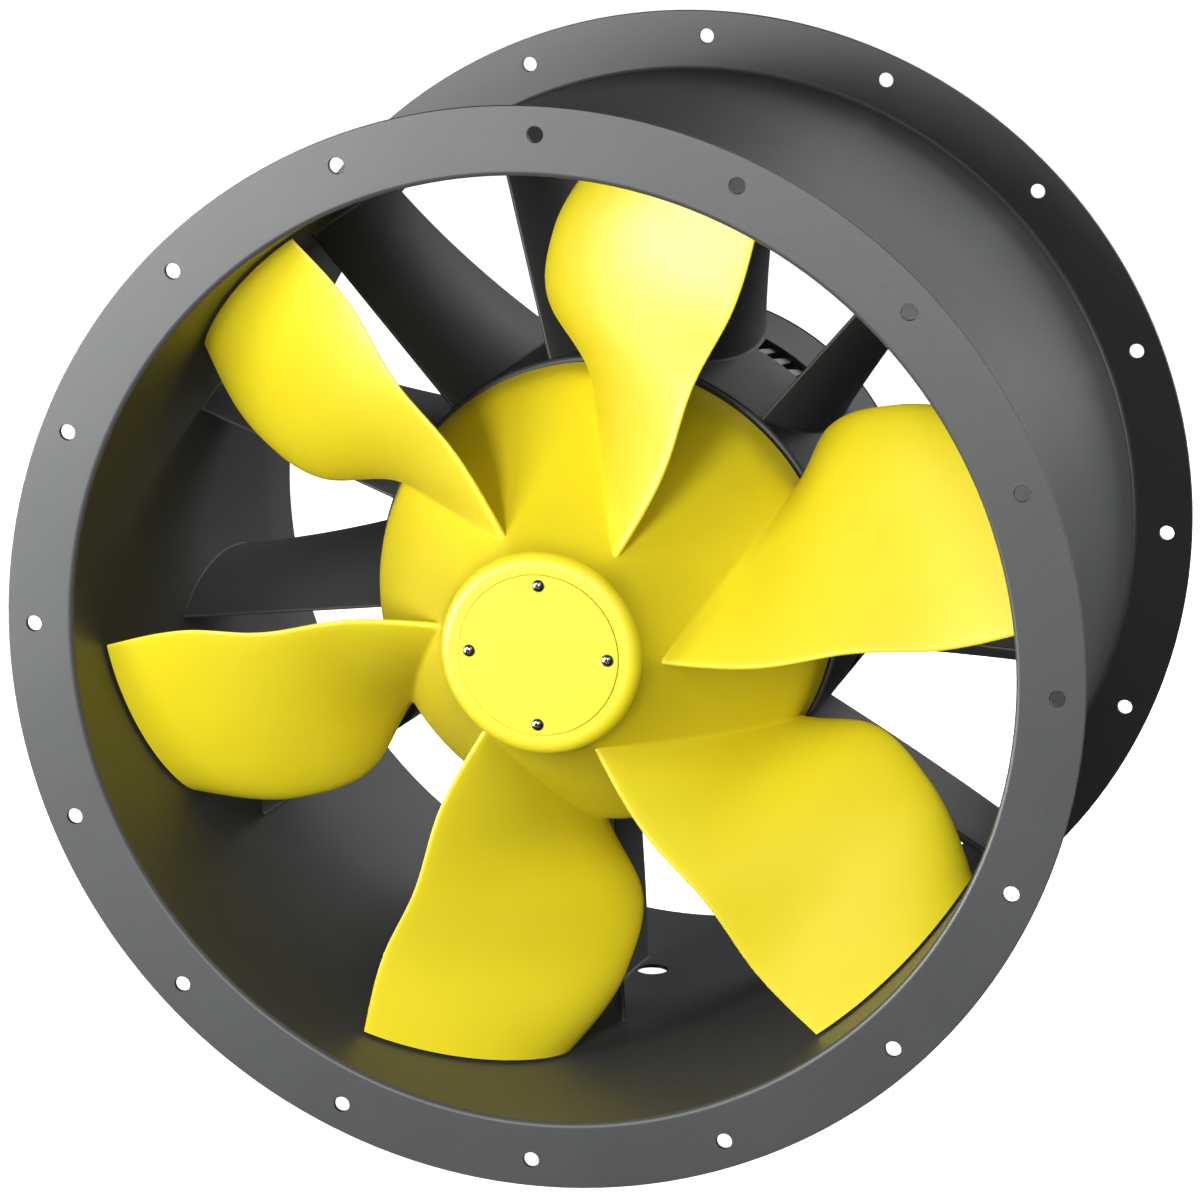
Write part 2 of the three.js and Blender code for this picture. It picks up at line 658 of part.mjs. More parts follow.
function hubOutline(extra) {
  return [
    ...arc(NOSE_R - NOSE_EDGE_R, NOSE_Y + NOSE_EDGE_R, NOSE_EDGE_R, 3, 4, 2),
    ...HUB_FLARE,
    [HUB_REAR_R, HUB_REAR_Y],
  ].map(([radius, y]) => [radius + extra, y]);
}

function impellerHub() {
  const ledgeY = NOSE_Y + CAP_THICK + GAP;
  const ledgeRearY = ledgeY + 6;
  const inside = HUB_FLARE.filter(([, y]) => y > WEB_REAR_Y).map(([radius, y]) => [radius - HUB_WALL, y]);
  const body = revolve([
    ...hubOutline(0),
    [HUB_REAR_R - HUB_WALL, HUB_REAR_Y],
    ...inside.reverse(),
    [95, WEB_REAR_Y],
    [24, WEB_REAR_Y],
    [24, WEB_FRONT_Y],
    [88, WEB_FRONT_Y],
    [71, -224],
    [70, ledgeRearY],
    [CAP_LEDGE_R, ledgeRearY],
    [CAP_LEDGE_R, ledgeY],
    [CAP_R + GAP, ledgeY],
    [CAP_R + GAP, NOSE_Y],
  ], HUB_SEGMENTS);
  const capHoles = holes(CAP_SCREW_HOLE_R, ledgeY, ledgeRearY, CAP_SCREW_CIRCLE_R, SCREW_ANGLES);
  const screwHoleR = ROTOR_SCREW_R + 0.4;
  const rotorHoles = holes(screwHoleR, WEB_FRONT_Y, WEB_REAR_Y, ROTOR_SCREW_CIRCLE_R, ROTOR_SCREW_ANGLES);
  return cut(body, [...capHoles, ...rotorHoles]);
}

// Edges of a blade at each radius: angle in degrees and y in mm.
const FRONT_EDGE_DEG = [[84, 36], [150, 33], [220, 28.1], [290, 27.4], [354, 25.1]];
const FRONT_EDGE_Y = [[84, -217], [150, -217.5], [220, -214.6], [290, -205.6], [354, -200.7]];
const REAR_EDGE_DEG = [[84, 9], [178, -2], [230, -9.2], [290, -6], [354, 1.8]];
const REAR_EDGE_Y = [[84, -62], [178, -65], [230, -78.2], [290, -96.8], [354, -107]];
const BLADE_CURL = [[84, 2.9], [140, 2.3], [180, 1.7], [260, 1.35], [354, 1.8]];
const BLADE_THICK = [[84, 10], [180, 8], [354, 5]];

function bladePoint(turn, along, up, side) {
  const radius = THREE.MathUtils.lerp(BLADE_ROOT_R, BLADE_TIP_R, up);
  const chord = (1 - Math.cos((along * TURN) / 2)) / 2;
  const frontAngle = THREE.MathUtils.degToRad(interpolate(FRONT_EDGE_DEG, radius));
  const rearAngle = THREE.MathUtils.degToRad(interpolate(REAR_EDGE_DEG, radius));
  const frontY = interpolate(FRONT_EDGE_Y, radius);
  const rearY = interpolate(REAR_EDGE_Y, radius);
  const curl = interpolate(BLADE_CURL, radius);
  const sideways = (rearAngle - frontAngle) * radius;
  const offset = sideways * (1 - (1 - chord) ** curl);
  const slope = (sideways * curl * (1 - chord) ** (curl - 1)) / (rearY - frontY);
  const swell = 0.25 + 0.75 * Math.sin(Math.PI * Math.sqrt(chord)) ** 0.8;
  const half = ((side * interpolate(BLADE_THICK, radius)) / 2) * swell / Math.hypot(1, slope);
  const y = THREE.MathUtils.lerp(frontY, rearY, chord);
  return polar(radius, turn + frontAngle + (offset + half) / radius, y - half * slope);
}

function blade(turn) {
  const plate = curvedPlate(10, 7, (along, up, side) => bladePoint(turn, along, up, side));
  const noseR = NOSE_R - NOSE_EDGE_R;
  const frontY = NOSE_Y - 10;
  const rearY = HUB_REAR_Y + 12;
  const rootCutter = revolve([
    [0, frontY],
    [noseR, frontY],
    ...hubOutline(0.4),
    [HUB_REAR_R + GAP, rearY],
    [0, rearY],
  ], HUB_SEGMENTS);
  return cut(plate, [rootCutter]);
}

function hubCap() {
  const cap = disc(CAP_R, NOSE_Y, NOSE_Y + CAP_THICK, HUB_SEGMENTS);
  return cut(cap, holes(CAP_SCREW_HOLE_R, NOSE_Y, NOSE_Y + CAP_THICK, CAP_SCREW_CIRCLE_R, SCREW_ANGLES));
}

function capScrew(angle) {
  const headY = NOSE_Y - GAP;
  const screw = revolve([
    [0, headY - 2.7],
    [2.4, headY - 2.5],
    [4.2, headY - 1.4],
    [4.7, headY],
    [2.2, headY],
    [2.2, headY + 10],
    [0, headY + 10],
  ], HOLE_SEGMENTS);
  const place = polar(CAP_SCREW_CIRCLE_R, angle, 0);
  return screw.translate(place.x, 0, place.z);
}

add('impeller_hub', impellerHub(), yellowPaint());
ringAngles(BLADE_COUNT).forEach((turn, i) => add(`blade_${i + 1}`, blade(turn), yellowPaint()));
add('hub_cap', hubCap(), yellowPaint());
SCREW_ANGLES.forEach((angle, i) => add(`cap_screw_${i + 1}`, capScrew(angle), steel()));

export default fan;
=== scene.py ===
import json
import math

import bmesh
import bpy
from mathutils import Matrix, Vector


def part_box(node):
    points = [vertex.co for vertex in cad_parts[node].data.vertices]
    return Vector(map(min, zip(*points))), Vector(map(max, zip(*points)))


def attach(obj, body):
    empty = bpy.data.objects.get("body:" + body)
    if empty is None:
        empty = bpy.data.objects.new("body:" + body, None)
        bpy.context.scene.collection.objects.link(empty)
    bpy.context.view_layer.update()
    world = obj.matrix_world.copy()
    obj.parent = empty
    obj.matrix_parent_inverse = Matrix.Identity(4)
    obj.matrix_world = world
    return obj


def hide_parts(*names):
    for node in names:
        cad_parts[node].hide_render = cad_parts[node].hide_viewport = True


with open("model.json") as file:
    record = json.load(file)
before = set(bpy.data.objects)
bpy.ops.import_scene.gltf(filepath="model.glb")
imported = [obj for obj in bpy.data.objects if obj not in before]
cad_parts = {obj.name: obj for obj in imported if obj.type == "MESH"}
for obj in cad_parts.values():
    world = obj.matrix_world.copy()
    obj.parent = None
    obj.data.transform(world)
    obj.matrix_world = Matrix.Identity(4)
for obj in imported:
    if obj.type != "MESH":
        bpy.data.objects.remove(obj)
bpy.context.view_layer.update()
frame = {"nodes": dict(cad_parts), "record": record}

# Axial duct fan. Metres; +Y is the duct axis and points downstream, +Z is up, and the origin is
# the middle of the casing on its axis. Angles about the axis run clockwise from +Z, seen from
# the inlet. A piece named NODE_form stands for the CAD node of that name.

TURN = 2 * math.pi
MM = 0.001
# How far a plate's foot reaches into the wall that it is welded to.
EMBED = 0.3 * MM

# Casing.
CASING_LOW, CASING_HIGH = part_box("casing")
FRONT_Y = CASING_LOW.y
REAR_Y = CASING_HIGH.y
FLANGE_R = CASING_HIGH.z
BORE_R = 357 * MM
WALL = 3 * MM
FLANGE_THICK = 4 * MM
LIP_R = 4 * MM
CORNER_R = 4 * MM
SHEET_EDGE = 0.6 * MM
BOLT_COUNT = 16
BOLT_CIRCLE_R = 387.5 * MM
BOLT_HOLE_R = 6 * MM
CABLE_HOLE_R = 12.5 * MM
CABLE_HOLE_Y = 109 * MM

# Guide vanes and core. A pair holds a vane's value at the core and at the casing.
VANE_COUNT = 13
VANE_THICK = 3 * MM
VANE_FIRST = math.radians(12.2)
VANE_FRONT_Y = (-41 * MM, -22.5 * MM)
VANE_REAR_Y = (164 * MM, 139 * MM)
VANE_TWIST = (36.5 * MM, 22 * MM)
VANE_CURL = 3
VANE_BELLY = 7 * MM
WELD_SIZE = 2.2 * MM
CORE_R = 184 * MM
CORE_WALL = 3 * MM
CORE_LOW, CORE_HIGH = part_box("core_tube")
CORE_FRONT_Y = CORE_LOW.y
CORE_REAR_Y = CORE_HIGH.y
CORE_LIP = 15 * MM
WINDOW_FRONT_Y = 102 * MM
WINDOW_FROM = math.radians(13.6)
WINDOW_TO = math.radians(37.9)

# Cooling body, electronics housing and cover.
FINS_PER_WINDOW = 6
FIN_ROOT_R = 158 * MM
FIN_TIP_R = CORE_R - CORE_WALL - 1.2 * MM
FIN_LOW, FIN_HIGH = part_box("cooling_body")
FIN_FRONT_Y = FIN_LOW.y
FIN_REAR_Y = FIN_HIGH.y
HOUSING_LOW, HOUSING_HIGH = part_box("electronics_housing")
HOUSING_FRONT_Y = HOUSING_LOW.y
HOUSING_REAR_Y = HOUSING_HIGH.y
HOUSING_WALL = 8 * MM
COVER_FACE_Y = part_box("rear_cover")[1].y
COVER_THICK = 3 * MM
TIE_CIRCLE_R = 120 * MM
TIE_BOLT_R = 4 * MM
TIE_HEAD_R = 7.5 * MM
GLAND_R = 12 * MM
CABLE_BORE_R = 28 * MM

# Impeller.
BLADE_COUNT = 6
BLADE_TIP_R = 354.5 * MM
NOSE_Y = -250 * MM
NOSE_R = 77 * MM
NOSE_EDGE_R = 10 * MM
HUB_WALL = 5 * MM
HUB_REAR_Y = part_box("impeller_hub")[1].y
WEB_FRONT_Y = -200 * MM
WEB_REAR_Y = -194 * MM
WEB_BORE_R = 24 * MM
CAP_R = 60.6 * MM
CAP_THICK = 4.7 * MM
CAP_PROUD = 0.8 * MM
CAP_GAP = 0.3 * MM
CAP_LEDGE_R = 45 * MM
CAP_SCREW_CIRCLE_R = 52.6 * MM

# Hub radius along the duct, as [y, radius] in mm.
HUB_CURVE = [
    [-240, 77], [-228, 80.5], [-213, 88], [-177, 110], [-137, 137], [-104, 158.5], [-77, 174], [-52, 180.6],
]

# Edges of a blade by radius in mm: angle in degrees and y in mm. BLADE_CURL says how early along
# its chord a blade turns, and BLADE_THICK how thick it is at most, in mm.
FRONT_EDGE_DEG = [[84, 36], [150, 33], [220, 28.1], [290, 27.4], [354, 25.1]]
FRONT_EDGE_Y = [[84, -217], [150, -217.5], [220, -214.6], [290, -205.6], [354, -200.7]]
REAR_EDGE_DEG = [[84, 9], [178, -2], [230, -9.2], [290, -6], [354, 1.8]]
REAR_EDGE_Y = [[84, -62], [178, -65], [230, -78.2], [290, -96.8], [354, -107]]
BLADE_CURL = [[84, 2.9], [140, 2.3], [180, 1.7], [260, 1.35], [354, 1.8]]
BLADE_THICK = [[84, 8], [180, 6.5], [354, 4]]
BLADE_FILLET = 3.5 * MM

LATHE_STEPS = 192


# ---- Geometry helpers ----------------------------------------------------------------------

def polar(radius, angle, y):
    return Vector((radius * math.sin(angle), y, radius * math.cos(angle)))


def ring_point(centre, radius, angle):
    """The (x, z) of a point on a circle about a centre."""
    return (centre.x + radius * math.sin(angle), centre.z + radius * math.cos(angle))


def ring_angles(count, first=0.0):
    return [first + i * TURN / count for i in range(count)]


def blend(a, b, share):
    return a + (b - a) * share


def curve(pairs, x):
    """A smooth line through [x, value] pairs, straight on past its ends."""
    last = len(pairs) - 2
    i = min(max(sum(1 for at, _ in pairs if at < x) - 1, 0), last)
    slopes = [(b[1] - a[1]) / (b[0] - a[0]) for a, b in zip(pairs, pairs[1:])]
    tangents = [slopes[0]] + [(a + b) / 2 for a, b in zip(slopes, slopes[1:])] + [slopes[-1]]
    (x0, v0), (x1, v1) = pairs[i], pairs[i + 1]
    if x <= pairs[0][0]:
        return v0 + tangents[0] * (x - x0)
    if x >= pairs[-1][0]:
        return v1 + tangents[-1] * (x - x1)
    span = x1 - x0
    t = (x - x0) / span
    rise = (2 * t ** 3 - 3 * t ** 2 + 1) * v0 + (3 * t ** 2 - 2 * t ** 3) * v1
    return rise + span * ((t ** 3 - 2 * t ** 2 + t) * tangents[i] + (t ** 3 - t ** 2) * tangents[i + 1])


def curve_mm(pairs, metres):
    """curve() for a table whose two columns are in mm."""
    return curve(pairs, metres / MM) * MM


def arc(centre_r, centre_y, radius, start, end, steps):
    """[radius, y] points of a round stretch; angles in quarter turns from +radius towards +y."""
    turns = [blend(start, end, i / steps) * TURN / 4 for i in range(steps + 1)]
    return [[centre_r + radius * math.cos(t), centre_y + radius * math.sin(t)] for t in turns]


def new_object(name, bm):
    bmesh.ops.recalc_face_normals(bm, faces=bm.faces)
    mesh = bpy.data.meshes.new(name)
    bm.to_mesh(mesh)
    bm.free()
    obj = bpy.data.objects.new(name, mesh)
    bpy.context.scene.collection.objects.link(obj)
    return obj


def lathe(bm, profile, steps=LATHE_STEPS, centre=None, first=0.0):
    """Turns a closed [radius, y] profile about the duct axis, or about a parallel one at centre."""
    on_axis = [i for i, (radius, _) in enumerate(profile) if radius < 1e-9]
    columns = []
    for angle in ring_angles(steps, first):
        columns.append([
            columns[0][i] if columns and i in on_axis else bm.verts.new(polar(radius, angle, y))
            for i, (radius, y) in enumerate(profile)
        ])
    for a, b in zip(columns, columns[1:] + columns[:1]):
        for i in range(len(profile)):
            j = (i + 1) % len(profile)
            if i in on_axis and j in on_axis:
                continue
            corners = list(dict.fromkeys([a[i], a[j], b[j], b[i]]))
            bm.faces.new(corners)
    if centre is not None:
        made = {v for column in columns for v in column}
        bmesh.ops.translate(bm, verts=list(made), vec=centre)


def loft(bm, rings):
    """Joins closed rings of points in order and caps both ends."""
    rows = [[bm.verts.new(point) for point in ring] for ring in rings]
    count = len(rows[0])
    for a, b in zip(rows, rows[1:]):
        for i in range(count):
            j = (i + 1) % count
            bm.faces.new([a[i], a[j], b[j], b[i]])
    bm.faces.new(rows[0])
    bm.faces.new(rows[-1][::-1])


def prism(bm, outline, front_y, rear_y):
    """Carries an outline of (x, z) points along the duct."""
    loft(bm, [[Vector((x, y, z)) for x, z in outline] for y in (front_y, rear_y)])


def flared_hole(bm, radius, front_y, rear_y, centre, steps=40, edge=0.35 * MM):
    """A cutter for a round hole through a sheet, with its two edges broken."""
    past = 3 * MM
    lathe(bm, [
        [0, front_y - past],
        [radius + edge + past, front_y - past],
        [radius + edge, front_y],
        [radius, front_y + edge],
        [radius, rear_y - edge],
        [radius + edge, rear_y],
        [radius + edge + past, rear_y + past],
        [0, rear_y + past],
    ], steps, centre, TURN / steps / 2)


def combine(obj, other, operation):
    """Applies a solid to obj by a boolean operation and removes that solid."""
    modifier = obj.modifiers.new(operation.lower(), "BOOLEAN")
    modifier.object = other
    modifier.operation = operation
    modifier.solver = "EXACT"
    modifier.use_self = operation == "UNION"
    apply_modifiers(obj)
    bpy.data.objects.remove(other)


def cut(obj, cutter):
    combine(obj, cutter, "DIFFERENCE")


def apply_modifiers(obj):
    depsgraph = bpy.context.evaluated_depsgraph_get()
    mesh = bpy.data.meshes.new_from_object(obj.evaluated_get(depsgraph))
    obj.modifiers.clear()
    obj.data = mesh


def shade(obj, sharp_deg=35.0, weighted=True):
    """Smooth shading between edges, with faces square to the duct axis kept flat."""
    for face in obj.data.polygons:
        face.use_smooth = abs(face.normal.y) < 0.9999
    obj.data.set_sharp_from_angle(angle=math.radians(sharp_deg))
    if weighted:
        modifier = obj.modifiers.new("weighted_normals", "WEIGHTED_NORMAL")
        modifier.keep_sharp = True
        apply_modifiers(obj)


def bevel(obj, width, segments=2, angle_deg=40.0):
    modifier = obj.modifiers.new("edge", "BEVEL")
    modifier.width = width
    modifier.segments = segments
    modifier.limit_method = "ANGLE"
    modifier.angle_limit = math.radians(angle_deg)
    apply_modifiers(obj)


def turned(name, profile):
    """A piece turned from one closed [radius, y] profile."""
    bm = bmesh.new()
    lathe(bm, profile)
    return new_object(name, bm)


def place(obj, node, body, slot):
    """Finishes a piece: it takes its slot's material, rides on its body and stands for its node."""
    obj.data.materials.clear()
    obj.data.materials.append(LOOKS[slot])
    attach(obj, body)
    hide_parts(node)


# ---- Materials -----------------------------------------------------------------------------

class Nodes:
    """A short way to write a node tree that ends in one Principled shader."""

    def __init__(self, name):
        self.material = bpy.data.materials.new(name)
        self.material.use_nodes = True
        self.tree = self.material.node_tree
        self.shader = self.tree.nodes["Principled BSDF"]
        self.where = self.add("ShaderNodeTexCoord").outputs["Object"]

    def add(self, kind, links=None, **settings):
        node = self.tree.nodes.new(kind)
        for key, value in settings.items():
            if hasattr(node, key):
                setattr(node, key, value)
            else:
                node.inputs[key].default_value = value
        for key, source in (links or {}).items():
            self.tree.links.new(source, node.inputs[key])
        return node

    def noise(self, scale, detail=4.0, roughness=0.55, stretch=None):
        where = self.where
        if stretch is not None:
            mapping = self.add("ShaderNodeMapping", {"Vector": where})
            mapping.inputs["Scale"].default_value = stretch
            where = mapping.outputs["Vector"]
        node = self.add("ShaderNodeTexNoise", {"Vector": where})
        node.inputs["Scale"].default_value = scale
        node.inputs["Detail"].default_value = detail
        node.inputs["Roughness"].default_value = roughness
        return node.outputs["Fac"]

    def spread(self, source, low, high, out_low, out_high):
        node = self.add("ShaderNodeMapRange", {"Value": source})
        for key, value in zip(("From Min", "From Max", "To Min", "To Max"), (low, high, out_low, out_high)):
            node.inputs[key].default_value = value
        return node.outputs["Result"]

    def mix(self, share, first, second):
        node = self.add("ShaderNodeMix", data_type="RGBA")
        for socket, value in zip((node.inputs[6], node.inputs[7]), (first, second)):
            if isinstance(value, tuple):
                socket.default_value = value + (1.0,)
            else:
                self.tree.links.new(value, socket)
        self.tree.links.new(share, node.inputs[0])
        return node.outputs[2]

    def set(self, socket, value):
        if isinstance(value, bpy.types.NodeSocket):
            self.tree.links.new(value, self.shader.inputs[socket])
        elif isinstance(value, tuple):
            self.shader.inputs[socket].default_value = value + (1.0,)
        else:
            self.shader.inputs[socket].default_value = value

    def bump(self, height, strength, distance):
        node = self.add("ShaderNodeBump", {"Height": height})
        node.inputs["Strength"].default_value = strength
        node.inputs["Distance"].default_value = distance
        self.tree.links.new(node.outputs["Normal"], self.shader.inputs["Normal"])


def grey_paint():
    """Powder coat: an orange-peel skin with fine speckle and slow changes of tone."""
    n = Nodes("grey_paint")
    broad = n.spread(n.noise(9.0), 0.3, 0.7, 0.0, 1.0)
    base = n.mix(broad, (0.046, 0.048, 0.049), (0.055, 0.057, 0.058))
    speck = n.spread(n.noise(2600.0, 2.0), 0.35, 0.75, 0.0, 0.35)
    base = n.mix(speck, base, (0.078, 0.080, 0.082))
    n.set("Base Color", base)
    n.set("Roughness", n.spread(n.noise(900.0, 3.0), 0.3, 0.7, 0.42, 0.52))
    n.set("Specular IOR Level", 0.5)
    n.bump(n.noise(620.0, 3.0, 0.5), 0.18, 0.0004)
    return n.material


def yellow_plastic():
    """Glass-filled plastic: smooth, with faint flow marks and a fine moulded grain."""
    n = Nodes("yellow_plastic")
    flow = n.spread(n.noise(14.0, 5.0, 0.5, (1.0, 0.35, 1.0)), 0.3, 0.7, 0.0, 1.0)
    base = n.mix(flow, (0.90, 0.745, 0.014), (0.93, 0.785, 0.022))
    fine = n.spread(n.noise(3200.0, 2.0), 0.4, 0.8, 0.0, 0.25)
    base = n.mix(fine, base, (0.87, 0.69, 0.010))
    n.set("Base Color", base)
    n.set("Roughness", n.spread(n.noise(300.0, 4.0), 0.3, 0.7, 0.42, 0.50))
    n.set("Specular IOR Level", 0.5)
    n.bump(n.noise(1500.0, 3.0, 0.5), 0.08, 0.0002)
    return n.material


def metal(name, dark, light, roughness, stretch=(1, 1, 1), scale=260.0, metallic=1.0, strength=0.12):
    """Bare metal with a machined grain; stretch gives its fineness along each axis."""
    n = Nodes(name)
    grain = n.noise(scale, 5.0, 0.6, stretch)
    n.set("Base Color", n.mix(n.spread(grain, 0.3, 0.7, 0.0, 1.0), dark, light))
    n.set("Metallic", metallic)
    n.set("Roughness", n.spread(n.noise(scale * 0.4, 3.0, 0.5, stretch), 0.3, 0.7, *roughness))
    n.bump(grain, strength, 0.0002)
    return n.material


def rubbery(name, dark, light, roughness, scale):
    """Black rubber or plastic with a fine cast grain."""
    n = Nodes(name)
    n.set("Base Color", n.mix(n.spread(n.noise(scale * 0.05), 0.3, 0.7, 0.0, 1.0), dark, light))
    n.set("Roughness", n.spread(n.noise(scale), 0.3, 0.7, *roughness))
    n.bump(n.noise(scale, 3.0), 0.2, 0.0003)
    return n.material


def green_board():
    """Solder mask over copper tracks."""
    n = Nodes("green_board")
    cells = n.add("ShaderNodeTexVoronoi", {"Vector": n.where}, feature="DISTANCE_TO_EDGE")
    cells.inputs["Scale"].default_value = 90.0
    track = n.spread(cells.outputs["Distance"], 0.02, 0.05, 1.0, 0.0)
    n.set("Base Color", n.mix(track, (0.012, 0.10, 0.035), (0.03, 0.19, 0.06)))
    n.set("Roughness", n.spread(n.noise(500.0), 0.3, 0.7, 0.25, 0.35))
    n.bump(track, 0.3, 0.0001)
    return n.material


LOOKS = {
    "grey_paint": grey_paint(),
    "yellow_plastic": yellow_plastic(),
    "dark_steel": metal("dark_steel", (0.09, 0.09, 0.095), (0.15, 0.15, 0.155), (0.35, 0.5), (1, 6, 1)),
    "bright_steel": metal("bright_steel", (0.50, 0.50, 0.51), (0.66, 0.66, 0.67), (0.18, 0.3), (1, 8, 1)),
    "zinc_screw": metal(
        "zinc_screw", (0.46, 0.47, 0.49), (0.66, 0.67, 0.68), (0.24, 0.36), scale=500.0, metallic=0.75
    ),
    "dark_screw": metal("dark_screw", (0.13, 0.13, 0.135), (0.22, 0.22, 0.225), (0.2, 0.3), scale=700.0),
    "aluminium": metal("aluminium", (0.42, 0.43, 0.44), (0.56, 0.57, 0.58), (0.38, 0.52), scale=420.0),
    "copper": metal("copper", (0.55, 0.21, 0.08), (0.75, 0.33, 0.14), (0.25, 0.4), (1, 9, 1), 380.0),
    "magnet": metal("magnet", (0.07, 0.07, 0.075), (0.12, 0.12, 0.125), (0.5, 0.65), scale=300.0, metallic=0.6),
    "black_plastic": rubbery("black_plastic", (0.012, 0.012, 0.013), (0.025, 0.025, 0.026), (0.35, 0.5), 900),
    "black_rubber": rubbery("black_rubber", (0.010, 0.010, 0.010), (0.02, 0.02, 0.02), (0.6, 0.8), 600),
    "green_board": green_board(),
}
STANDING = "casing_and_stator"
TURNING = "impeller"


# ---- Casing --------------------------------------------------------------------------------

def rounded_rim(radius, low_y, high_y, edge, steps=3):
    """The outside corners of a ring, from its low face to its high face."""
    low = arc(radius - edge, low_y + edge, edge, 3, 4, steps)
    high = arc(radius - edge, high_y - edge, edge, 0, 1, steps)
    return low + high


def between(start, end, steps):
    """Evenly spaced [radius, y] points strictly between two others."""
    return [[blend(a, b, k / steps) for a, b in zip(start, end)] for k in range(1, steps)]


def casing_profile():
    tube_r = BORE_R + WALL
    back_y = FRONT_Y + FLANGE_THICK
    lip = arc(BORE_R + LIP_R, FRONT_Y + LIP_R, LIP_R, 2, 3, 6)
    rim = rounded_rim(FLANGE_R, FRONT_Y, back_y, SHEET_EDGE)
    corner = arc(tube_r + CORNER_R, back_y + CORNER_R, CORNER_R, 3, 2, 10)
    front = lip + between(lip[-1], rim[0], 4) + rim + between(rim[-1], corner[0], 3) + corner
    rear = [[radius, -y] for radius, y in reversed(front)]
    return front + between(front[-1], rear[0], 40) + rear + between(rear[-1], front[0], 40)


def casing():
    shell = turned("casing_form", casing_profile())
    cutters = bmesh.new()
    for angle in ring_angles(BOLT_COUNT):
        centre = polar(BOLT_CIRCLE_R, angle, 0)
        flared_hole(cutters, BOLT_HOLE_R, FRONT_Y, FRONT_Y + FLANGE_THICK, centre)
        flared_hole(cutters, BOLT_HOLE_R, REAR_Y - FLANGE_THICK, REAR_Y, centre)
    cable_hole = bmesh.new()
    flared_hole(cable_hole, CABLE_HOLE_R, -WALL, 0.0, Vector())
    turn = Matrix.Translation((0, CABLE_HOLE_Y, -BORE_R)) @ Matrix.Rotation(TURN / 4, 4, "X")
    bmesh.ops.transform(cable_hole, matrix=turn, verts=cable_hole.verts)
    mesh = bpy.data.meshes.new("cable_hole")
    cable_hole.to_mesh(mesh)
    cable_hole.free()
    cutters.from_mesh(mesh)
    cut(shell, new_object("casing_cutters", cutters))
    shade(shell)
    place(shell, "casing", STANDING, "grey_paint")


# ---- Plates that follow a curve: vanes, blades and fins -------------------------------------

def stations(front_share, rear_share, steps, arc_steps=4):
    """Places along a chord from 0 to 1 and the share of full thickness there, round at both ends."""
    quarters = [k / arc_steps * TURN / 4 for k in range(arc_steps + 1)]
    front = [(front_share * (1 - math.cos(q)), math.sin(q)) for q in quarters]
    rear = [(1 - rear_share * (1 - math.cos(q)), math.sin(q)) for q in reversed(quarters)]
    body = [(blend(front_share, 1 - rear_share, k / steps), 1.0) for k in range(1, steps)]
    return front + body + rear


def section(places, point):
    """A closed outline round a plate; point(chord, offset share) gives each of its points."""
    outward = [point(chord, share) for chord, share in places]
    back = [point(chord, -share) for chord, share in reversed(places[1:-1])]
    return outward + back


def vane(first_angle):
    length = math.hypot(VANE_TWIST[0], VANE_REAR_Y[0] - VANE_FRONT_Y[0])
    places = stations(VANE_THICK / 2 / length, VANE_THICK / 2 / length, 26)
    inner_r = CORE_R - EMBED
    outer_r = BORE_R + EMBED

    def point(up, chord, share):
        radius = blend(inner_r, outer_r, up)
        front_y = blend(*VANE_FRONT_Y, up)
        near_core = (1 - up) ** 2
        rear_y = blend(VANE_REAR_Y[1], VANE_REAR_Y[0], near_core)
        sideways = blend(VANE_TWIST[1], VANE_TWIST[0], near_core)
        offset = sideways * (1 - (1 - chord) ** VANE_CURL) + VANE_BELLY * 4 * chord * (1 - chord)
        turning = sideways * VANE_CURL * (1 - chord) ** (VANE_CURL - 1) + VANE_BELLY * 4 * (1 - 2 * chord)
        slope = turning / (rear_y - front_y)
        weld = weld_flare(radius - inner_r) + weld_flare(outer_r - radius)
        half = math.copysign(1, share) * (abs(share) * VANE_THICK / 2 + weld) / math.hypot(1, slope)
        if abs(share) < 1e-9:
            half = 0.0
        y = blend(front_y, rear_y, chord) - half * slope
        return polar(radius, first_angle + (offset + half) / radius, y)

    bm = bmesh.new()
    span = (outer_r - inner_r) / MM
    foot = [0.0, 0.4, 0.9, 1.5, 2.2, 3.0]
    ups = foot + [blend(3.0, span - 3.0, k / 24) for k in range(1, 24)] + [span - f for f in reversed(foot)]
    loft(bm, [section(places, lambda chord, share: point(up / span, chord, share)) for up in ups])
    return bm


def hollow_flare(distance, size):
    """How far a hollow quarter-round corner stands out at a distance from its foot."""
    reach = min(max(1 - distance / size, 0.0), 1.0)
    return size * (1 - math.sqrt(1 - reach ** 2))


def weld_flare(distance):
    return hollow_flare(distance, WELD_SIZE)


def guide_vanes():
    for i, angle in enumerate(ring_angles(VANE_COUNT, VANE_FIRST)):
        node = f"guide_vane_{i + 1:02d}"
        obj = new_object(f"{node}_form", vane(angle))
        shade(obj, 50.0, weighted=False)
        place(obj, node, STANDING, "grey_paint")


def hub_radius(y):
    return curve_mm(HUB_CURVE, y)


def blade_line(turn, radius, chord):
    """The middle of a blade: its angle, its y, and its slope sideways for each step along y."""
    front_angle = math.radians(curve(FRONT_EDGE_DEG, radius / MM))
    rear_angle = math.radians(curve(REAR_EDGE_DEG, radius / MM))
    front_y = curve_mm(FRONT_EDGE_Y, radius)
    rear_y = curve_mm(REAR_EDGE_Y, radius)
    curl = curve(BLADE_CURL, radius / MM)
    sideways = (rear_angle - front_angle) * radius
    offset = sideways * (1 - (1 - chord) ** curl)
    slope = sideways * curl * (1 - chord) ** (curl - 1) / (rear_y - front_y)
    return turn + front_angle + offset / radius, blend(front_y, rear_y, chord), slope


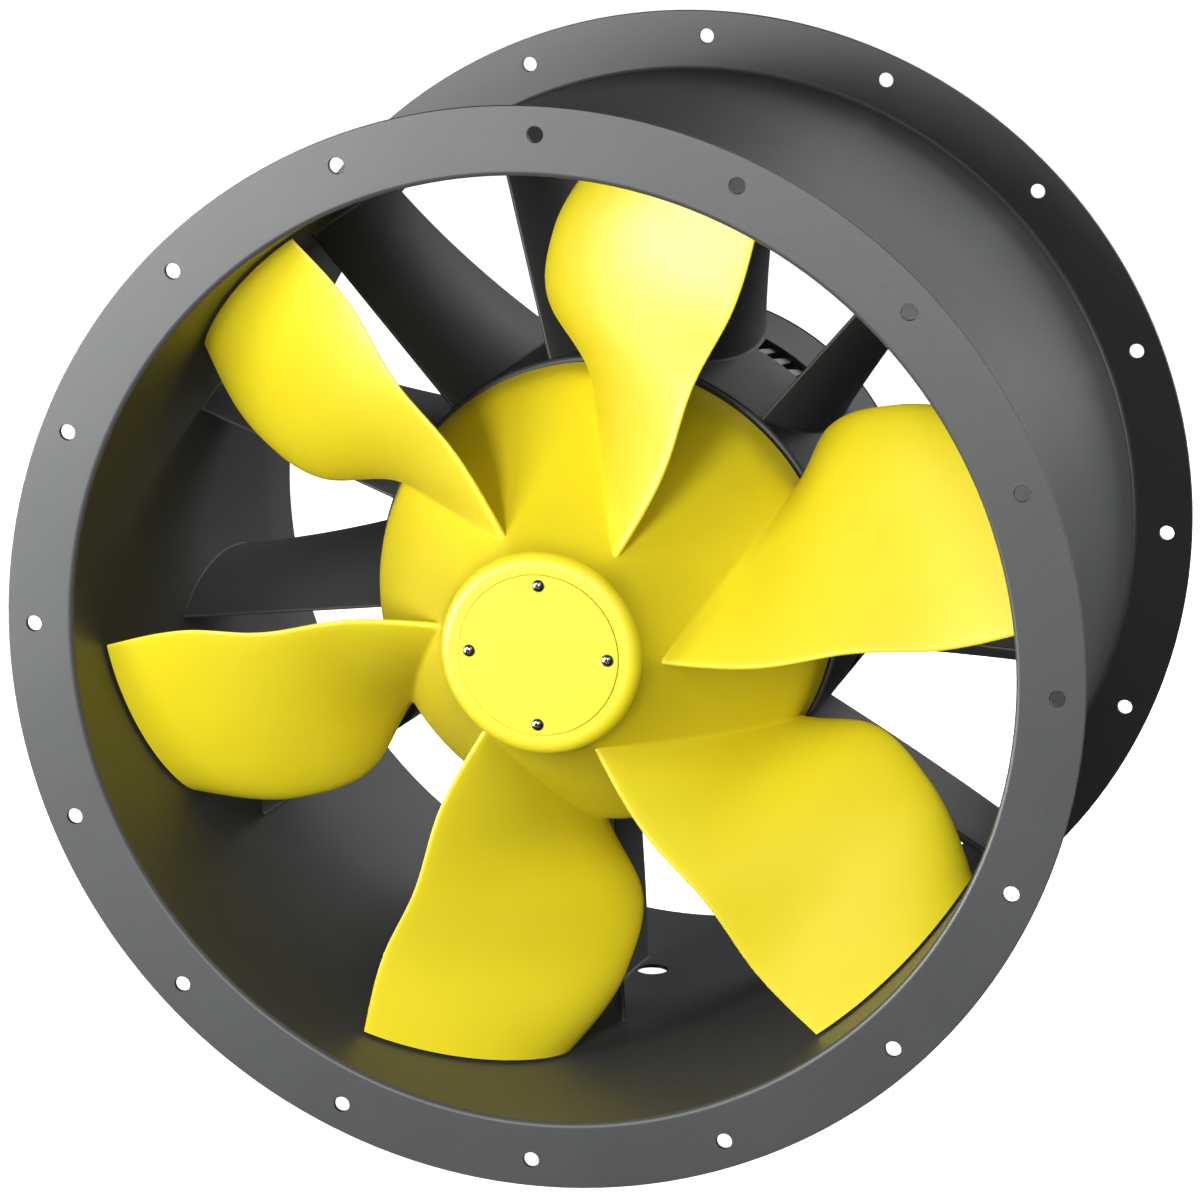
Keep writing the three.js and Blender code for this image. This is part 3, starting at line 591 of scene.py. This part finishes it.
def blade_half_thickness(radius, chord):
    full = curve_mm(BLADE_THICK, radius)
    return full / 2 * (0.42 + 0.58 * math.sin(math.pi * math.sqrt(chord)) ** 0.9)


def blade_point(turn, height, tip_share, chord, share):
    """A point of a blade's skin: height is above the hub, and tip_share blends it to the tip."""
    radius = BLADE_TIP_R
    for _ in range(12):
        _, y, _ = blade_line(turn, radius, chord)
        radius = blend(hub_radius(y) + height, BLADE_TIP_R, tip_share)
    angle, y, slope = blade_line(turn, radius, chord)
    half = share * blade_half_thickness(radius, chord)
    fade = min(1.0, chord * 5) * min(1.0, (1 - chord) * 12)
    half += share * fade * hollow_flare(radius - hub_radius(y), BLADE_FILLET)
    across = half / math.hypot(1, slope)
    moved_y = y - across * slope
    shifted = blend(hub_radius(moved_y) + height, BLADE_TIP_R, tip_share)
    return polar(shifted, angle + across / radius, moved_y)


def blade(turn):
    places = stations(0.012, 0.016, 44, 5)
    root_heights = [-1.2, 0.0, 0.1, 0.35, 0.7, 1.2, 1.9, 2.7, 3.6]
    rows = [(h * MM, 0.0) for h in root_heights]
    rows += [(root_heights[-1] * MM, k / 40) for k in range(1, 40)]
    rows += [(root_heights[-1] * MM, 1.0)]
    bm = bmesh.new()
    loft(bm, [
        section(places, lambda chord, share: blade_point(turn, height, tip_share, chord, share))
        for height, tip_share in rows
    ])
    return bm


def blades():
    for i, turn in enumerate(ring_angles(BLADE_COUNT)):
        node = f"blade_{i + 1}"
        obj = new_object(f"{node}_form", blade(turn))
        shade(obj, 50.0, weighted=False)
        place(obj, node, TURNING, "yellow_plastic")


# ---- Impeller hub --------------------------------------------------------------------------

def impeller_hub():
    ledge_y = NOSE_Y + CAP_THICK + CAP_GAP
    ledge_rear_y = ledge_y + 6 * MM
    edge = 1 * MM
    steps = 44
    skin_ys = [blend(NOSE_Y + NOSE_EDGE_R, HUB_REAR_Y - edge, k / steps) for k in range(1, steps + 1)]
    inner_ys = [blend(HUB_REAR_Y, WEB_REAR_Y, k / steps) for k in range(steps + 1)]
    profile = arc(NOSE_R - NOSE_EDGE_R, NOSE_Y + NOSE_EDGE_R, NOSE_EDGE_R, 3, 4, 14)
    profile += [[hub_radius(y), y] for y in skin_ys]
    profile += arc(hub_radius(HUB_REAR_Y) - edge, HUB_REAR_Y - edge, edge, 0, 1, 3)[1:]
    profile += [[hub_radius(y) - HUB_WALL, y] for y in inner_ys]
    profile += [
        [WEB_BORE_R, WEB_REAR_Y],
        [WEB_BORE_R, WEB_FRONT_Y],
        [88 * MM, WEB_FRONT_Y],
        [71 * MM, -224 * MM],
        [70 * MM, ledge_rear_y],
        [CAP_LEDGE_R, ledge_rear_y],
        [CAP_LEDGE_R, ledge_y],
        [CAP_R + CAP_GAP, ledge_y],
        [CAP_R + CAP_GAP, NOSE_Y + CAP_GAP],
        [CAP_R + 2 * CAP_GAP, NOSE_Y],
    ]
    obj = turned("impeller_hub_form", profile)
    shade(obj)
    place(obj, "impeller_hub", TURNING, "yellow_plastic")


def hub_cap():
    face_y = NOSE_Y - CAP_PROUD
    rear_y = NOSE_Y + CAP_THICK
    edge = 0.5 * MM
    profile = [[0, face_y]] + arc(CAP_R - edge, face_y + edge, edge, 3, 4, 4) + [[CAP_R, rear_y], [0, rear_y]]
    obj = turned("hub_cap_form", profile)
    shade(obj)
    place(obj, "hub_cap", TURNING, "yellow_plastic")


def cap_screws():
    """Dome heads with a six-lobed recess."""
    head_r = 4.7 * MM
    head_height = 2.6 * MM
    shank_r = 2.2 * MM
    shank_length = 10 * MM
    recess_r = 1.75 * MM
    lobe = 0.32 * MM
    recess_depth = 1.7 * MM
    seat_y = NOSE_Y - CAP_PROUD - 0.05 * MM
    for i, angle in enumerate(ring_angles(4)):
        node = f"cap_screw_{i + 1}"
        centre = polar(CAP_SCREW_CIRCLE_R, angle, 0)
        dome = [[head_r * math.sin(q), seat_y - head_height * math.cos(q)] for q in
                (k / 8 * TURN / 4 for k in range(9))]
        shank = [[shank_r, seat_y], [shank_r, seat_y + shank_length], [0, seat_y + shank_length]]
        bm = bmesh.new()
        lathe(bm, dome + shank, 48, centre)
        obj = new_object(f"{node}_form", bm)
        outline = [ring_point(centre, recess_r + lobe * math.cos(6 * a), a) for a in ring_angles(72)]
        cutter = bmesh.new()
        prism(cutter, outline, seat_y - 2 * head_height, seat_y - head_height + recess_depth)
        cut(obj, new_object("recess", cutter))
        shade(obj)
        place(obj, node, TURNING, "dark_screw")


# ---- Core, cooling body and electronics housing ---------------------------------------------

def core_tube():
    inner_r = CORE_R - CORE_WALL
    edge = 0.5 * MM
    past = 6 * MM
    profile = arc(inner_r, CORE_FRONT_Y + CORE_WALL, CORE_WALL, 3, 4, 6)
    profile += arc(CORE_R - edge, CORE_REAR_Y - edge, edge, 0, 1, 3)
    profile += [
        [inner_r, CORE_REAR_Y],
        [inner_r, CORE_FRONT_Y + CORE_WALL],
        [inner_r - CORE_LIP, CORE_FRONT_Y + CORE_WALL],
        [inner_r - CORE_LIP, CORE_FRONT_Y],
    ]
    obj = turned("core_tube_form", profile)
    cutters = bmesh.new()
    for vane_angle in ring_angles(VANE_COUNT, VANE_FIRST):
        angles = [vane_angle + blend(WINDOW_FROM, WINDOW_TO, k / 12) for k in range(13)]
        inner = [ring_point(Vector(), inner_r - past, a) for a in angles]
        outer = [ring_point(Vector(), CORE_R + past, a) for a in reversed(angles)]
        prism(cutters, inner + outer, WINDOW_FRONT_Y, CORE_REAR_Y + past)
    cut(obj, new_object("windows", cutters))
    shade(obj)
    place(obj, "core_tube", STANDING, "grey_paint")


def cooling_fin(bm, angle, pitch):
    """A slanting fin with round edges and a rounded tip."""
    depth = FIN_REAR_Y - FIN_FRONT_Y
    places = stations(0.09, 0.05, 10)

    def point(radius, chord, share):
        swing = blend(-0.30, 0.30, chord ** 1.4) * pitch
        half = share * blend(0.36, 0.20, chord) * pitch
        return polar(radius, angle + swing + half, FIN_FRONT_Y + depth * chord)

    radii = [FIN_ROOT_R - 2 * MM, FIN_TIP_R - 1 * MM, FIN_TIP_R - 0.3 * MM, FIN_TIP_R]
    shrink = [1.0, 1.0, 0.93, 0.80]
    loft(bm, [
        section(places, lambda chord, share: point(radius, chord, share * narrow))
        for radius, narrow in zip(radii, shrink)
    ])


def cooling_body():
    fin_count = VANE_COUNT * FINS_PER_WINDOW
    floor_y = FIN_REAR_Y - HOUSING_WALL
    wall_r = FIN_ROOT_R - HOUSING_WALL
    bm = bmesh.new()
    lathe(bm, [
        [wall_r, FIN_FRONT_Y],
        [FIN_ROOT_R, FIN_FRONT_Y],
        [FIN_ROOT_R, FIN_REAR_Y],
        [CABLE_BORE_R, FIN_REAR_Y],
        [CABLE_BORE_R, floor_y],
        [wall_r, floor_y],
    ])
    for angle in ring_angles(fin_count):
        cooling_fin(bm, angle, TURN / fin_count)
    obj = new_object("cooling_body_form", bm)
    shade(obj)
    place(obj, "cooling_body", STANDING, "aluminium")


def electronics_housing():
    floor_rear_y = HOUSING_FRONT_Y + 5 * MM
    edge = 1 * MM
    profile = [[CABLE_BORE_R, HOUSING_FRONT_Y]]
    profile += rounded_rim(CORE_R, HOUSING_FRONT_Y, HOUSING_REAR_Y, edge, 4)
    profile += [
        [CORE_R - HOUSING_WALL, HOUSING_REAR_Y],
        [CORE_R - HOUSING_WALL, floor_rear_y],
        [CABLE_BORE_R, floor_rear_y],
    ]
    obj = turned("electronics_housing_form", profile)
    shade(obj)
    place(obj, "electronics_housing", STANDING, "grey_paint")


def rear_cover():
    """A shallow pressed dish with a wide round shoulder."""
    rim_y = HOUSING_REAR_Y + 2.3 * MM
    shoulder = 30 * MM
    edge = 1 * MM
    outside = [[0, COVER_FACE_Y]]
    outside += arc(150 * MM, COVER_FACE_Y - shoulder, shoulder, 1, 0.35, 8)
    outside += arc(CORE_R - edge, rim_y + edge, edge, 0.3, -1, 4)
    inside_y = COVER_FACE_Y - COVER_THICK
    inside = [[176 * MM, rim_y], [174 * MM, COVER_FACE_Y - 8 * MM], [149 * MM, inside_y], [0, inside_y]]
    obj = turned("rear_cover_form", outside + inside)
    play = 0.4 * MM
    cutters = bmesh.new()
    for angle in ring_angles(4, TURN / 8):
        flared_hole(cutters, TIE_BOLT_R + play, inside_y, COVER_FACE_Y, polar(TIE_CIRCLE_R, angle, 0))
    gland_at = polar(TIE_CIRCLE_R, TURN / 2, 0)
    flared_hole(cutters, GLAND_R + play, inside_y, COVER_FACE_Y, gland_at)
    cut(obj, new_object("cover_holes", cutters))
    shade(obj)
    place(obj, "rear_cover", STANDING, "grey_paint")


def hex_bolt(bm, circle_r, angle, front_y, seat_y, shank_r, head_r, head_height):
    """A hexagon-head bolt whose head looks downstream, with a washer face and chamfered corners."""
    centre = polar(circle_r, angle, 0)
    point = 0.6 * MM
    shank_end_y = seat_y + 0.5 * MM
    lathe(bm, [
        [0, front_y],
        [shank_r - point, front_y],
        [shank_r, front_y + point],
        [shank_r, shank_end_y],
        [0, shank_end_y],
    ], 32, centre)
    washer_r = head_r * 1.12
    washer_rear_y = seat_y + 1 * MM
    steps = 48
    lathe(bm, [[0, seat_y], [washer_r, seat_y], [washer_r, washer_rear_y], [0, washer_rear_y]], steps, centre)
    top_y = seat_y + head_height
    rings = []
    chamfer = 0.9 * MM
    for y, share, roundness in ((seat_y + chamfer, 1, 0), (top_y - chamfer, 1, 0), (top_y, 0.93, 1)):
        ring = []
        for a in ring_angles(steps):
            flat = math.cos(TURN / 12) / math.cos((a % (TURN / 6)) - TURN / 12)
            radius = head_r * share * blend(flat, min(flat, 0.94), roundness)
            ring.append(centre + Vector((radius * math.sin(a), y, radius * math.cos(a))))
        rings.append(ring)
    loft(bm, rings)


def tie_bolts():
    for i, angle in enumerate(ring_angles(4, TURN / 8)):
        node = f"tie_bolt_{i + 1}"
        low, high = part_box(node)
        bm = bmesh.new()
        seat_y = COVER_FACE_Y + 0.1 * MM
        hex_bolt(bm, TIE_CIRCLE_R, angle, low.y, seat_y, TIE_BOLT_R, TIE_HEAD_R, high.y - seat_y)
        obj = new_object(f"{node}_form", bm)
        shade(obj, 25.0)
        place(obj, node, STANDING, "zinc_screw")


def cable_gland():
    """A screw-in body with a hexagon at its foot and a ribbed, domed cap nut."""
    low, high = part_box("cable_gland")
    centre = polar(TIE_CIRCLE_R, TURN / 2, 0)
    base = COVER_FACE_Y
    bore = 7 * MM
    cap_r = GLAND_R + 1.8 * MM
    dome = 5 * MM
    edge = 1 * MM
    profile = [
        [bore, low.y],
        [GLAND_R, low.y],
        [GLAND_R, base + 8 * MM],
        [GLAND_R + 1.2 * MM, base + 9 * MM],
        [cap_r, base + 10 * MM],
        [cap_r, base + 15 * MM],
    ]
    profile += arc(cap_r - dome, high.y - dome, dome, 0, 1, 6)
    profile += [[bore + edge, high.y], [bore, high.y - edge]]
    bm = bmesh.new()
    lathe(bm, profile, 96, centre)
    obj = new_object("cable_gland_form", bm)
    outer = [ring_point(centre, GLAND_R + 4 * MM, a) for a in ring_angles(6)]
    nut = bmesh.new()
    prism(nut, outer, base + 0.2 * MM, base + 7 * MM)
    nut_obj = new_object("gland_nut", nut)
    bevel(nut_obj, 0.8 * MM)
    ribs = bmesh.new()
    for a in ring_angles(12):
        rib_at = centre + polar(GLAND_R, a, 0)
        rib = [ring_point(rib_at, 2.6 * MM, b) for b in ring_angles(16)]
        prism(ribs, rib, base + 9.5 * MM, base + 15.5 * MM)
    ribs_obj = new_object("gland_ribs", ribs)
    combine(obj, nut_obj, "UNION")
    combine(obj, ribs_obj, "UNION")
    through = bmesh.new()
    past = 5 * MM
    drill = [[0, low.y - past], [bore, low.y - past], [bore, high.y + past], [0, high.y + past]]
    lathe(through, drill, 96, centre)
    cut(obj, new_object("gland_bore", through))
    shade(obj)
    place(obj, "cable_gland", STANDING, "black_plastic")


# ---- Inner pieces that keep their CAD shape --------------------------------------------------

def inner_nodes():
    """Gives every CAD node that still shows its material, by the record's slots."""
    slots = {part["node"]: part["material_slot"] for part in frame["record"]["subparts"]}
    for name, obj in frame["nodes"].items():
        if not obj.hide_render:
            obj.data.materials.clear()
            obj.data.materials.append(LOOKS[slots[name]])


# ---- Stage: floor, light and camera ----------------------------------------------------------

# The view: azimuth and elevation of the camera, its roll, and the distance to the fan's middle.
AZIMUTH = math.radians(14.50)
ELEVATION = math.radians(14.29)
ROLL = math.radians(0.406)
DISTANCE = 3.9839
ACROSS = -17.7 * MM
ALONG_UP = -18.7 * MM
LENS = 153.35


def camera():
    right = Vector((math.cos(AZIMUTH), math.sin(AZIMUTH), 0))
    level = math.cos(ELEVATION)
    back = Vector((math.sin(AZIMUTH) * level, -math.cos(AZIMUTH) * level, math.sin(ELEVATION)))
    up = back.cross(right)
    across = right * math.cos(ROLL) + up * math.sin(ROLL)
    upward = up * math.cos(ROLL) - right * math.sin(ROLL)
    data = bpy.data.cameras.new("camera")
    data.lens = LENS
    data.clip_end = 100
    obj = bpy.data.objects.new("camera", data)
    turn = Matrix((across, upward, back)).transposed().to_4x4()
    obj.matrix_world = Matrix.Translation(across * ACROSS + upward * ALONG_UP + back * DISTANCE) @ turn
    bpy.context.scene.collection.objects.link(obj)
    bpy.context.scene.camera = obj


def floor():
    n = Nodes("floor")
    cloud = n.spread(n.noise(3.0), 0.3, 0.7, 0.0, 1.0)
    n.set("Base Color", n.mix(cloud, (0.93, 0.93, 0.93), (0.96, 0.96, 0.96)))
    n.set("Roughness", 0.9)
    n.set("Specular IOR Level", 0.1)
    n.set("Emission Color", (1.0, 1.0, 1.0))
    n.set("Emission Strength", 1.0)
    half = 60
    top_z = CASING_LOW.z - 0.2 * MM
    corners = [(-half, -half), (half, -half), (half, half), (-half, half)]
    bm = bmesh.new()
    bm.faces.new([bm.verts.new((x, y, top_z)) for x, y in corners])
    obj = new_object("floor", bm)
    obj.data.materials.append(n.material)
    obj.visible_diffuse = False
    obj.visible_glossy = False


def area_light(name, place_at, aim, size, power, gives):
    data = bpy.data.lights.new(name, "AREA")
    data.shape = "DISK"
    data.size = size
    data.energy = power
    obj = bpy.data.objects.new(name, data)
    obj.visible_diffuse = gives != "sheen"
    obj.visible_glossy = gives != "matt"
    direction = Vector(aim) - Vector(place_at)
    obj.matrix_world = Matrix.Translation(place_at) @ direction.to_track_quat("-Z", "Y").to_matrix().to_4x4()
    bpy.context.scene.collection.objects.link(obj)


def studio_light(name, distance, azimuth_deg, elevation_deg, size, power, gives="both"):
    """A round soft light that looks at the fan's middle; azimuth 0 is straight in front of the inlet.

    It gives both kinds of light, or only its sheen on the paint, or only the matt part.
    """
    azimuth = math.radians(azimuth_deg)
    elevation = math.radians(elevation_deg)
    level = distance * math.cos(elevation)
    place_at = (level * math.sin(azimuth), -level * math.cos(azimuth), distance * math.sin(elevation))
    area_light(name, place_at, (0, 0, 0), size, power, gives)


def studio():
    scene = bpy.context.scene
    scene.view_settings.view_transform = "Standard"
    world = bpy.data.worlds.new("world")
    world.use_nodes = True
    background = world.node_tree.nodes["Background"]
    background.inputs["Color"].default_value = (1, 1, 1, 1)
    background.inputs["Strength"].default_value = 0.05
    scene.world = world
    studio_light("key", 4.0, -4, 8, 0.8, 100)
    studio_light("near_key", 1.3, -28, 14, 0.4, 6.5)
    studio_light("sheen", 3.0, -53, -5, 1.6, 280, "sheen")
    studio_light("right_fill", 4.0, 20, 26, 1.6, 28)
    studio_light("side_fill", 2.5, 96, 12, 1.4, 40)
    studio_light("back_high", 2.5, 150, 27, 1.2, 62, "matt")
    studio_light("back_sheen", 2.5, 150, 27, 2.4, 14, "sheen")


camera()
studio()
floor()
casing()
guide_vanes()
core_tube()
cooling_body()
electronics_housing()
rear_cover()
tie_bolts()
cable_gland()
impeller_hub()
blades()
hub_cap()
cap_screws()
inner_nodes()
